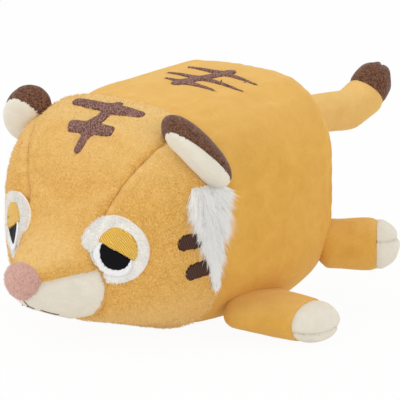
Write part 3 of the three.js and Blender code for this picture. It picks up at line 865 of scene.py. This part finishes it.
def patch(laid, mirror, reach, grain, depth_at, height, rounding, lift=0):
    """Raised work on the skin. Depth_at tells how far a point lies inside the outline."""
    bm = bmesh.new()
    count = math.ceil(2 * reach / grain)
    bmesh.ops.create_grid(bm, x_segments=count, y_segments=count, size=reach)
    outside = [face for face in bm.faces if depth_at(*face.calc_center_median().xy) < 0]
    bmesh.ops.delete(bm, geom=outside, context="FACES")
    edge_verts = {vertex for vertex in bm.verts if vertex.is_boundary}
    for vertex in bm.verts:
        across, up = vertex.co.xy
        depth = depth_at(across, up)
        if vertex in edge_verts:
            beside, above = depth_at(across + outline_step, up), depth_at(across, up + outline_step)
            slope = Vector((beside - depth, above - depth)) / outline_step
            if slope.length > least_slope:
                across -= slope.x * depth / slope.length_squared
                up -= slope.y * depth / slope.length_squared
            depth = 0
        spot, normal = on_skin(laid, mirror * across, up)
        rise = height * math.sqrt(1 - (1 - min(max(depth / rounding, 0), 1)) ** 2)
        vertex.co = spot + normal * (lift + rise)
    if mirror < 0:
        bmesh.ops.reverse_faces(bm, faces=bm.faces)
    return bm


def to_segment(point, start, end):
    """How far a point is from a line between two points, and how far along the line it lies."""
    line = end - start
    share = max(0, min(1, (point - start).dot(line) / line.length_squared))
    return (point - start - line * share).length, share


def stitched(name, colour, shade, pitch, along, depth, roughness, waver=0.15, fleck=0.0, gloss=0.35):
    """Dense stitching: rounded threads side by side, at right angles to a direction, which looks ribbed.
    Flecks are loops of paler yarn between them. Real threads are finer, under half a millimetre, and are
    drawn coarser so that they show."""
    material, tree = blank_material(name)
    place = add(tree, "TexCoord").outputs["Object"]
    waves = add(tree, "TexNoise", {"Vector": place, "Scale": 1 / (4 * pitch), "Detail": 1.0})
    across = add(tree, "VectorMath", {0: place, 1: along}, operation="DOT_PRODUCT")
    turns = add(tree, "Math", {0: across.outputs["Value"], 1: math.tau / pitch}, operation="MULTIPLY")
    bent = add(tree, "Math", {0: waves, 1: math.tau * 6 * waver, 2: turns}, operation="MULTIPLY_ADD")
    ridge = add(tree, "Math", {0: bent}, operation="SINE")
    loops = add(tree, "TexNoise", {"Vector": place, "Scale": 1.4 / pitch, "Detail": 2.0})
    spread = add(tree, "MapRange", {"Value": ridge, "From Min": -1.0, "From Max": 0.6})
    speckle = add(tree, "MapRange", {"Value": loops, "From Min": 0.44, "From Max": 0.58})
    mixed = add(tree, "Mix", {0: fleck, 2: spread, 3: speckle})
    tint = add(tree, "MixRGB", {"Fac": mixed, "Color1": linear(shade), "Color2": linear(colour)})
    relief = add(tree, "Bump", {"Height": mixed, "Strength": 0.7, "Distance": depth})
    thread = add(tree, "BsdfPrincipled", {
        "Base Color": tint, "Roughness": roughness, "Specular IOR Level": gloss, "Normal": relief})
    add(tree, "OutputMaterial", {"Surface": thread})
    return material


# Marks on the forehead and the back. Bars of brown looped embroidery cross a stroke that follows the spine.
# The bars on the forehead are blunt, and those on the back run out into long points.
mark_height = 0.0012
mark_rounding = 0.0014
mark_grain = 0.0009
ragged_length = 0.0016
ragged_reach = 0.0005
mark_fillet = 0.0012
mark_margin = 1.15
mark_tables = {
    "forehead_mark": {
        "reach": 0.033, "rise": 0.025,
        "lines": [[(0.1, 0.54), (-0.94, 0.52), 0.0046, 0.004], [(0.1, 0.54), (0.98, 0.54), 0.0058, 0.0036],
                  [(0, -0.32), (-0.5, -0.37), 0.0046, 0.0048], [(0, -0.32), (0.6, -0.29), 0.0048, 0.0042],
                  [(0.05, 0), (0.1, 0.8), 0.005, 0.0034], [(0.05, 0), (-0.05, -0.98), 0.0052, 0.0036]],
    },
    "back_mark": {
        "reach": 0.039, "rise": 0.022,
        "lines": [[(0, 0.73), (-0.83, 0.78), 0.0036, 0.0007], [(0.1, 0.72), (1.05, 0.64), 0.0036, 0.0007],
                  [(0, -0.16), (-0.92, -0.1), 0.0036, 0.0007], [(0.1, -0.16), (1.12, -0.2), 0.0036, 0.0007],
                  [(0, -0.82), (-0.56, -0.78), 0.0034, 0.0007], [(0.1, -0.84), (0.82, -0.88), 0.0034, 0.0007],
                  [(-0.1, -0.98), (0.18, 0.98), 0.0056, 0.0046]],
    },
}
# Looped yarn looks rough and matt, with paler loops among the brown.
mark_yarn = stitched("brown_looped_embroidery", "#A97D70", "#4C2C24", 0.0016, (0.7, 0.7, 0), 0.0006, 0.8,
                     waver=0.5, fleck=0.75)


def middle_of(node):
    """The middle of a CAD node's box."""
    low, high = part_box(node)
    return (low + high) / 2


def ragged(across, up):
    """How far yarn ends stray over an outline at a point of it."""
    return noise.noise(Vector((across, up, 0)) / ragged_length) * ragged_reach


def mark_depth(mark):
    """The outline of crossing bars, each a straight line that narrows to its end, with filled corners."""
    size = Vector((mark["reach"], mark["rise"]))
    lines = [(Vector(start) * size, Vector(end) * size, wide, narrow)
             for start, end, wide, narrow in mark["lines"]]

    def depth_at(across, up):
        total = 0
        for start, end, wide, narrow in lines:
            distance, share = to_segment(Vector((across, up)), start, end)
            total += math.exp((wide + (narrow - wide) * share - distance) / mark_fillet)
        return math.log(total) * mark_fillet + ragged(across, up)
    return depth_at


for name, mark in mark_tables.items():
    laid = skin_frame(middle_of(name), Vector((0, 1, 0)))
    bm = patch(laid, 1, mark_margin * mark["reach"], mark_grain, mark_depth(mark), mark_height, mark_rounding)
    piece(f"{name}_embroidery", bm, mark_yarn, "brown_thread", name, thickness=2 * mark_height)

# Cheek stripes. Two bars of dark brown satin stitch on each cheek run in under the fur tuft.
stripe_length = 0.016
stripe_half_width = 0.0058
stripe_run_under = 0.005
stripe_rises = {"upper": math.radians(3), "lower": math.radians(9)}
stripe_offsets = {"upper": Vector((0, 0.0035, 0.001)), "lower": Vector((0, 0.001, 0.0015))}
stripe_height = 0.0013
stripe_grain = 0.0008
stripe_margin = 1.2
stripe_front_share = 0.6
stripe_raggedness = 2
# Satin stitch is smooth thread in close rows, so it has a low gloss and fine ribs.
stripe_yarn = stitched("dark_brown_satin_stitch", "#55301F", "#27130B", 0.0017, (0.25, 0.9, 0.35), 0.001,
                       0.5)


def stripe_depth(rise):
    """The outline of a bar with round ends, a little ragged, that rises towards the fur tuft."""
    half = Vector((math.cos(rise), math.sin(rise))) * stripe_length / 2
    start, end = -half * stripe_front_share, half * (1 + stripe_run_under / stripe_length)

    def depth_at(across, up):
        distance = to_segment(Vector((across, up)), start, end)[0]
        return stripe_half_width - distance + stripe_raggedness * ragged(across, up)
    return depth_at


for side_name, side in sides.items():
    for which in stripe_rises:
        name = f"cheek_stripe_{which}_{side_name}"
        laid = skin_frame(middle_of(name) + stripe_offsets[which], Vector((0, 0, 1)))
        bm = patch(laid, side, stripe_margin * stripe_length, stripe_grain, stripe_depth(stripe_rises[which]),
                   stripe_height, stripe_height)
        piece(f"{name}_stitching", bm, stripe_yarn, "dark_thread", name, thickness=2 * stripe_height)

# Eyes. A patch of white pile carries a black half disc under a drooping gold satin lid. Bright white thread
# edges the disc from below. The pile stands back in a notch next to the muzzle.
eye_patch_radius = 0.0252
eye_notch_radius = 0.0186
eye_notch_turn = math.radians(216)
eye_notch_spread = math.radians(20)
eye_notch_breadth = 2.2
eye_drop = 0.0024
eye_patch_flattened = 0.96
lid_middle = Vector((0.0024, 0.0012))
lid_radius = 0.0146
lid_droop = math.radians(-24)
lid_offset = -0.0002
pupil_middle = Vector((0.001, -0.0026))
pupil_radius = 0.0124
rim_width = 0.0043
rim_overlap = 0.0008
rim_start = math.radians(140)
rim_end = math.radians(350)
rim_taper = math.radians(45)
patch_height = 0.0016
patch_rounding = 0.0035
patch_grain = 0.0009
patch_reach = 1.05 * eye_patch_radius
eye_thread_height = 0.0009
eye_thread_grain = 0.0006
eye_thread_reach = 1.6 * pupil_radius
eye_raggedness = 1.5
pile_per_eye = 3600
pile_length = (0.0016, 0.0026)
pile_width = 0.0004
pile_root_height = 0.7 * patch_height


def eye_edge(turn):
    """How far the white pile reaches from the middle of the eye in one direction."""
    off = abs((turn - eye_notch_turn + math.pi) % math.tau - math.pi)
    share = max(0, min(1, eye_notch_breadth - off / eye_notch_spread))
    return eye_patch_radius + (eye_notch_radius - eye_patch_radius) * share * share * (3 - 2 * share)


def patch_depth(across, up):
    """The round outline of the white pile."""
    up /= eye_patch_flattened
    return eye_edge(math.atan2(up, across)) - math.hypot(across, up)


def rim_depth(across, up):
    """The thread rim round the pupil, which is widest below and runs out at both ends."""
    off = Vector((across, up)) - pupil_middle
    turn = math.atan2(off.y, off.x) % math.tau
    share = min(1, max(0, min(turn - rim_start, rim_end - turn) / rim_taper))
    outer, inner = pupil_radius + rim_width * share, pupil_radius - rim_overlap
    return min(outer - off.length, off.length - inner) + eye_raggedness * ragged(across, up)


def above_lid_line(across, up):
    """How far a point lies above the lid's straight edge."""
    return up * math.cos(lid_droop) - across * math.sin(lid_droop) - lid_offset


def lid_depth(across, up):
    """The outline of the lid, the upper part of a disc."""
    off = Vector((across, up)) - lid_middle
    return min(lid_radius - off.length, above_lid_line(across, up)) + ragged(across, up) / 3


def pupil_depth(across, up):
    """The outline of the pupil, the lower part of a smaller disc."""
    off = Vector((across, up)) - pupil_middle
    return min(pupil_radius - off.length, -above_lid_line(across, up)) + eye_raggedness * ragged(across, up)


# The pile is soft and white. The stitches shine a little: the lid's most, and the pupil's hardly at all.
white_hair = hair("white_pile_fibres", "#FFFFFC", "#F7F6F3")
white_plush = plush("short_white_plush", "#FFFBF3", "#F3EDE1", 0.0012, 0.006, 0.0005, patchy=0.8)
white_thread = stitched("white_satin_stitch", "#FFFFFF", "#E6E6E8", 0.0008, (0, 0, 1), 0.0002, 0.4)
lid_thread = stitched("gold_satin_stitch", "#F9CD5C", "#C68E2A", 0.0014, (0.8, 0, 0.6), 0.0004, 0.35,
                      waver=0.3)
black_thread = stitched("black_satin_stitch", "#131317", "#08080A", 0.0009, (0, 0, 1), 0.0002, 0.6,
                        gloss=0.08)

for side_name, side in sides.items():
    eye = f"eye_patch_{side_name}"
    laid = skin_frame(middle_of(eye) - Vector((0, 0, eye_drop)), Vector((0, 0, 1)))
    base = patch(laid, side, patch_reach, patch_grain, patch_depth, patch_height, patch_rounding)
    piece(f"{eye}_cloth", base, white_plush, "white_pile", eye, thickness=2 * patch_height)
    works = (("eye_rim", rim_depth, white_thread, "white_thread", 0.0007),
             ("eyelid", lid_depth, lid_thread, "gold_thread", 0.0005),
             ("pupil", pupil_depth, black_thread, "black_thread", 0.0002))
    for node, outline, thread, slot, step_up in works:
        bm = patch(laid, side, eye_thread_reach, eye_thread_grain, outline, eye_thread_height,
                   eye_thread_height, lift=patch_height + step_up)
        piece(f"{node}_{side_name}_stitching", bm, thread, slot, f"{node}_{side_name}",
              thickness=2 * eye_thread_height)

    def pile_root(source):
        """A short fibre on the ring of white pile, leaning outward."""
        while True:
            turn = source.uniform(0, math.tau)
            distance = source.uniform(pupil_radius, eye_edge(turn) - pile_width)
            across, up = distance * math.cos(turn), distance * math.sin(turn) * eye_patch_flattened
            covered = max(lid_depth(across, up), pupil_depth(across, up), rim_depth(across, up))
            if covered < -pile_width and source.random() < distance / eye_patch_radius:
                break
        spot, normal = on_skin(laid, side * across, up)
        lean = laid.to_3x3() @ Vector((side * math.cos(turn), math.sin(turn), 0))
        lean *= (distance - pupil_radius) / (eye_patch_radius - pupil_radius)
        start = spot + normal * pile_root_height
        return fibre(source, start, normal + lean * 0.4, normal * 0.4 + lean * 0.6, 0.35, pile_length)

    piece(f"{eye}_pile", strands(f"eye_pile_{side_name}", pile_per_eye, pile_root, pile_width), white_hair,
          "white_pile", eye)

# Pile of the face. The brushed plush of the face is a little longer than that of the body, and single tufts
# of it stand out. They lean back from the nose and down, in locks, and the embroidery and the patches lie
# clear.
face_pile_count = 7000
face_pile_length = (0.0014, 0.0026)
face_pile_width = 0.00035
face_nap = Vector((0, 0.6, -0.5))
face_lock = 0.009
face_lock_turn = 0.9
face_work_reach = 0.004


def raised_work():
    """Finders of the patches, the embroidery and the nose on the face."""
    depsgraph = bpy.context.evaluated_depsgraph_get()
    names = ["forehead_mark_embroidery", "nose_cushion"]
    for side_name in sides:
        names += [f"eye_patch_{side_name}_cloth"]
        names += [f"cheek_stripe_{which}_{side_name}_stitching" for which in stripe_rises]
    return [BVHTree.FromObject(bpy.data.objects[name], depsgraph) for name in names]


def face_pile(panel):
    """The tufts of one panel, spread evenly over its area."""
    faces = [face for face in skin.faces if panel_at(face.calc_center_median()) == panel]
    areas = list(itertools.accumulate(face.calc_area() for face in faces))

    def tuft(source):
        """One tuft of pile, leaning with its lock."""
        while True:
            face = source.choices(faces, cum_weights=areas)[0]
            corner = source.randrange(1, len(face.verts) - 1)
            along, beside = source.random(), source.random()
            if along + beside > 1:
                along, beside = 1 - along, 1 - beside
            first = face.verts[0].co
            start = (first + (face.verts[corner].co - first) * along
                     + (face.verts[corner + 1].co - first) * beside)
            normal = face.normal
            low = start - normal * face_work_reach / 4
            covered = any(tree.ray_cast(low, normal, face_work_reach)[0] for tree in works_on_face)
            if start.z > face_pile_length[1] and not covered:
                break
        lean = face_nap + noise.noise_vector(start / face_lock) * face_lock_turn
        way = (lean - normal * lean.dot(normal)).normalized()
        return fibre(source, start, normal * 0.6 + way * 0.5, normal * 0.1 + way * 0.9, 0.3,
                     face_pile_length)

    return strands(f"{panel}_pile", face_pile_count, tuft, face_pile_width)


works_on_face = raised_work()
gold_pile = hair("gold_pile_fibres", "#FBD892", "#DEA64E")
for panel in ("forehead_cover", "cheek_cover_left", "cheek_cover_right"):
    piece(panel.replace("cover", "pile"), face_pile(panel), gold_pile, "face_cloth", panel)

# Mouth. One line of grey thread under the nose: a short stem, then a long flat stitch to each side.
mouth_thread_width = 0.0009
mouth_stem = [(0, 0.004), (0, -0.0065)]
mouth_half = [[(0, -0.0065), (0.004, -0.0085)], [(0.009, -0.0085), (0.0135, -0.0125), (0.0182, -0.0172)]]
mouth_lines = [mouth_stem] + [[(side * x, z) for x, z in line] for line in mouth_half for side in (1, -1)]
mouth_parts = 7
# How far the thread stands over the cloth, as shares of its width: at its sunk ends, and between them.
mouth_sunk = -0.6
mouth_raised = 0.15
# Sewing thread is thin and twisted, so it looks like one matt grey line.
mouth_thread = stitched("grey_thread", "#6E5F58", "#3F3532", 0.0012, (0.8, 0, 0.6), 0.0002, 0.6)


def mouth_stitches():
    """Thread laid along each line, with its ends drawn into the cloth."""
    low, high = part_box("mouth_stitch")
    laid = skin_frame(Vector((0, low.y, (low.z + high.z) / 2)), Vector((0, 0, 1)))
    lines = []
    for line in mouth_lines:
        path = []
        for (x1, z1), (x2, z2) in zip(line, line[1:]):
            path += [(x1 + (x2 - x1) * step / mouth_parts, z1 + (z2 - z1) * step / mouth_parts)
                     for step in range(mouth_parts)]
        path.append(line[-1])
        lifts = [mouth_sunk] + [mouth_raised] * (len(path) - 2) + [mouth_sunk]
        spots = [on_skin(laid, across, up) for across, up in path]
        lines.append([spot + normal * mouth_thread_width * lift
                      for (spot, normal), lift in zip(spots, lifts)])
    return threads("mouth", lines, mouth_thread_width, laid=True)


piece("mouth_thread", mouth_stitches(), mouth_thread, "grey_thread", "mouth_stitch")

# Fur tufts. Long white pile is let into the neck seam under each ear. It spreads at the top, lies down and
# back over the seam, and runs out into one point near the floor.
tuft_top = Vector((0.0895, -0.067, 0.1205))
tuft_foot = Vector((0.089, -0.059, 0.054))
tuft_half_widths = (0.0115, 0.0095, 0.005, 0.0025, 0.001)
tuft_lengths = (0.019, 0.020, 0.020, 0.018, 0.013)
tuft_fibres = 6200
tuft_fibre_width = 0.00055
tuft_lift = 0.0045
tuft_crowding = 1.25
tuft_lock = 0.005
tuft_fan = 0.8
tuft_lock_turn = 0.6
tuft_swept_back = 0.25
tuft_stray = 0.13
tuft_root_depth = 0.0005
tuft_length_spread = (0.75, 1.05)
tuft_lift_spread = (0.4, 1.3)
# Shares of a fibre's lift, its length and its stray at each of its points after the root.
tuft_bend = ((0.8, 0.28, 1), (1.15, 0.66, 1), (1, 1, 1.4))


def table_at(values, share):
    """A value part of the way along a row of values."""
    place = share * (len(values) - 1)
    index = min(int(place), len(values) - 2)
    return values[index] + (values[index + 1] - values[index]) * (place - index)


for side_name, side in sides.items():
    flip = Vector((side, 1, 1))
    top, foot = tuft_top * flip, tuft_foot * flip
    down = (foot - top).normalized()

    def tuft_root(source):
        """One long fibre: it leaves the skin, bends over and lies downwards."""
        share = source.random() ** tuft_crowding
        offset = source.uniform(-1, 1)
        place = top.lerp(foot, share) + Vector((0, 1, 0)) * offset * table_at(tuft_half_widths, share)
        spot, normal, _, _ = skin_tree.find_nearest(place)
        back = normal.cross(down) * side
        fan = tuft_fan * offset + tuft_lock_turn * noise.noise(spot / tuft_lock) + tuft_swept_back
        way = (down + back * fan * (1 - share) ** 1.3).normalized()
        stray = Vector([source.uniform(-tuft_stray, tuft_stray) for _ in range(3)])
        reach = table_at(tuft_lengths, share) * source.uniform(*tuft_length_spread)
        lift = tuft_lift * (1 - 0.6 * share) * source.uniform(*tuft_lift_spread)
        start = spot - normal * tuft_root_depth
        return [start] + [start + normal * lift * up + (way + stray * loose) * reach * along
                          for up, along, loose in tuft_bend]

    fibres = strands(f"tuft_{side_name}", tuft_fibres, tuft_root, tuft_fibre_width)
    piece(f"fur_tuft_{side_name}_pile", fibres, white_hair, "white_pile", f"fur_tuft_{side_name}")
